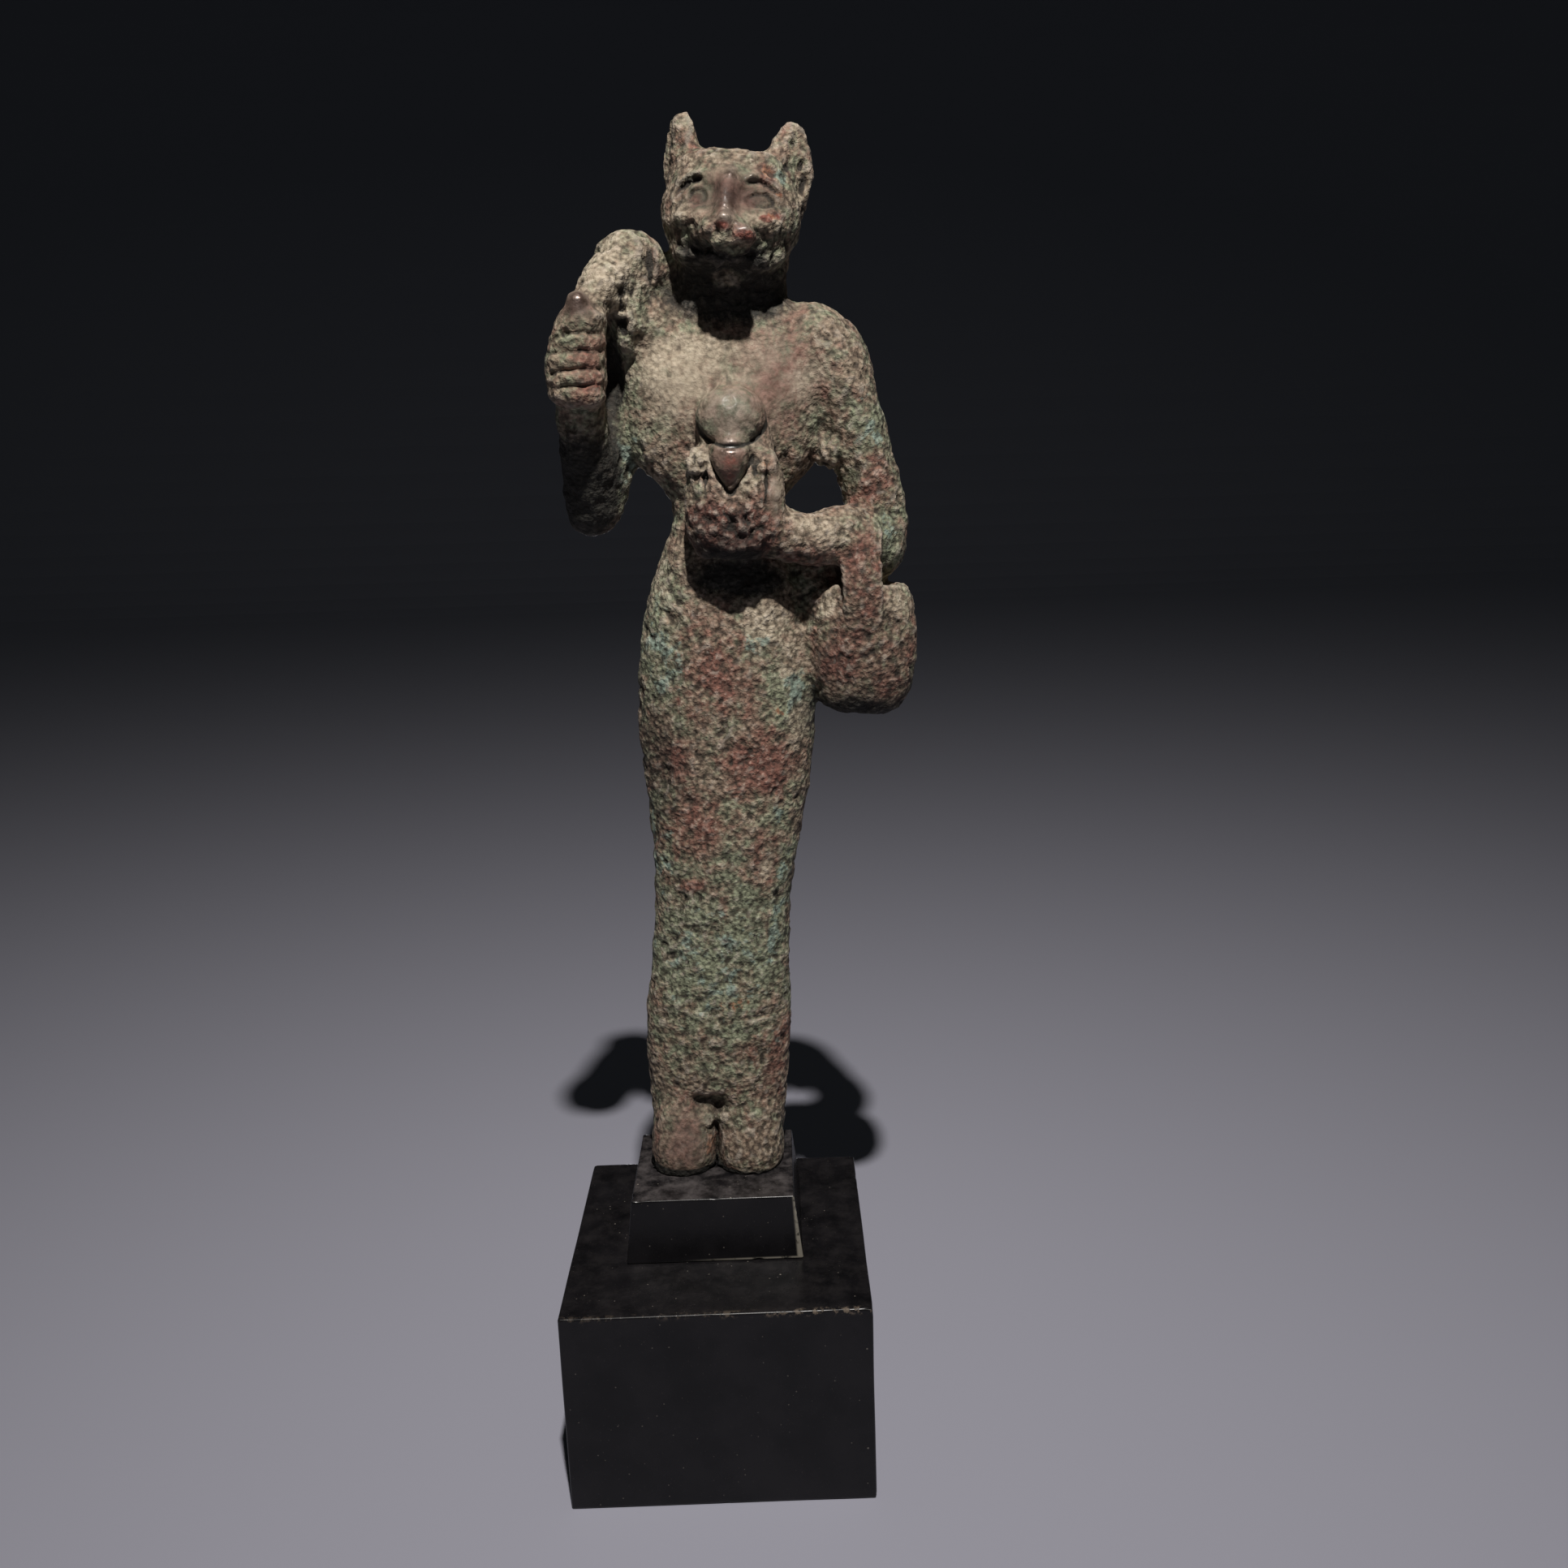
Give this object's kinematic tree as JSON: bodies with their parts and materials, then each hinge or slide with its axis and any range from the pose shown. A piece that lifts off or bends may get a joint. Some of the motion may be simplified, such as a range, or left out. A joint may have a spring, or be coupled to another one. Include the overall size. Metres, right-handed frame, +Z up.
{
  "type": "cat-headed goddess figurine",
  "caption": "Standing cat-headed figure in a long sheath dress, holding a rattle, a small aegis and a pail, in corroded bronze on a stepped black wooden stand.",
  "frame": {"origin": "middle of the stand's square underside", "axes": "+Z up, the figure faces -Y, and its raised arm is on the -X side"},
  "size_m": [0.0392, 0.032, 0.1388],
  "materials": {
    "bronze": "heavily corroded bronze: matt grey-green and tan crust with red-brown and turquoise areas, a dull metallic sheen on the worn high points",
    "riser_lacquer": "black lacquer, glossy, dusty on top",
    "block_lacquer": "black lacquer, glossy, lightly worn along its edges"
  },
  "bodies": {
    "root": {"bastet_figure": "bronze", "plinth_riser": "riser_lacquer", "plinth_block": "block_lacquer"}
  },
  "joints": []
}
